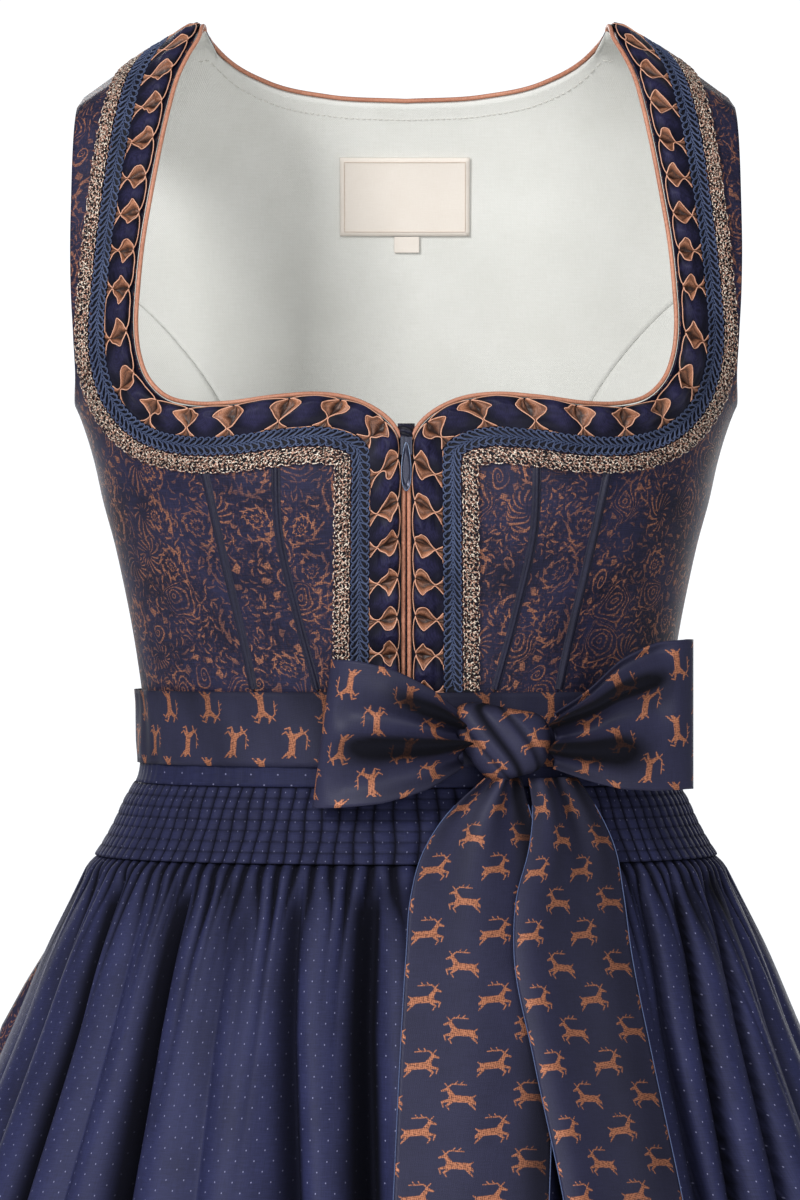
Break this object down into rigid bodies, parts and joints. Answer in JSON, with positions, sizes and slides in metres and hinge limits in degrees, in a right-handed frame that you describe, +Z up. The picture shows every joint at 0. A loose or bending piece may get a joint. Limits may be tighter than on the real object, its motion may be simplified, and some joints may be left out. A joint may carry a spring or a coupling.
{
  "type": "dirndl",
  "caption": "Sleeveless folk dress in worn form: brocade bodice with heart neckline, zip and ruffle trim, full skirt, and a smocked satin apron tied with a bow.",
  "frame": {"origin": "midway between the shoulders, at the height of the neck ends of the shoulder seams, where the wearer's shoulders carry the straps", "axes": "+Z up, -Y the garment's front, +X to the right of someone looking at the front"},
  "size_m": [0.7364, 0.566, 1.009],
  "materials": {
    "brocade": "woven brocade, satin ground with copper figures",
    "lining": "plain cotton weave",
    "label": "woven label, blank",
    "copper_satin": "bias satin piping",
    "ruffle": "box-pleated satin ruffle with copper lips",
    "gimp": "looped cord braid",
    "lace": "metallic thread lace braid",
    "navy_satin": "navy satin and zip tape",
    "zip_metal": "navy lacquered zip metal",
    "apron_satin": "satin with woven pin dots",
    "ribbon": "jacquard satin ribbon with copper stags"
  },
  "bodies": {
    "garment": {"front_centre_left": "brocade", "front_mid_left": "brocade", "front_side_left": "brocade", "front_centre_right": "brocade", "front_mid_right": "brocade", "front_side_right": "brocade", "back_centre": "brocade", "back_side_left": "brocade", "back_side_right": "brocade", "skirt": "brocade", "lining_back_centre": "lining", "lining_back_side_left": "lining", "lining_back_side_right": "lining", "label_main": "label", "label_size": "label", "neck_piping_left": "copper_satin", "neck_piping_right": "copper_satin", "neck_piping_back": "copper_satin", "frog_trim_left": "ruffle", "frog_trim_right": "ruffle", "gimp_left": "gimp", "gimp_right": "gimp", "lace_left": "lace", "lace_right": "lace", "seam_piping_inner_left": "navy_satin", "seam_piping_outer_left": "navy_satin", "seam_piping_inner_right": "navy_satin", "seam_piping_outer_right": "navy_satin", "zip_tape": "navy_satin", "zip_slider": "zip_metal", "apron_waistband": "apron_satin", "apron_smocking": "apron_satin", "apron_panel": "apron_satin", "tie_band": "ribbon", "bow_loop_left": "ribbon", "bow_loop_right": "ribbon", "bow_knot": "ribbon", "tail_left": "ribbon", "tail_right": "ribbon"},
    "pull": {"zip_pull": "zip_metal"}
  },
  "joints": [
    {"name": "pull_swing", "type": "hinge", "parent": "garment", "child": "pull", "pos_m": [0, -0.1151, -0.2085], "axis": [-1, 0, 0], "range_deg": [0, 150]}
  ]
}
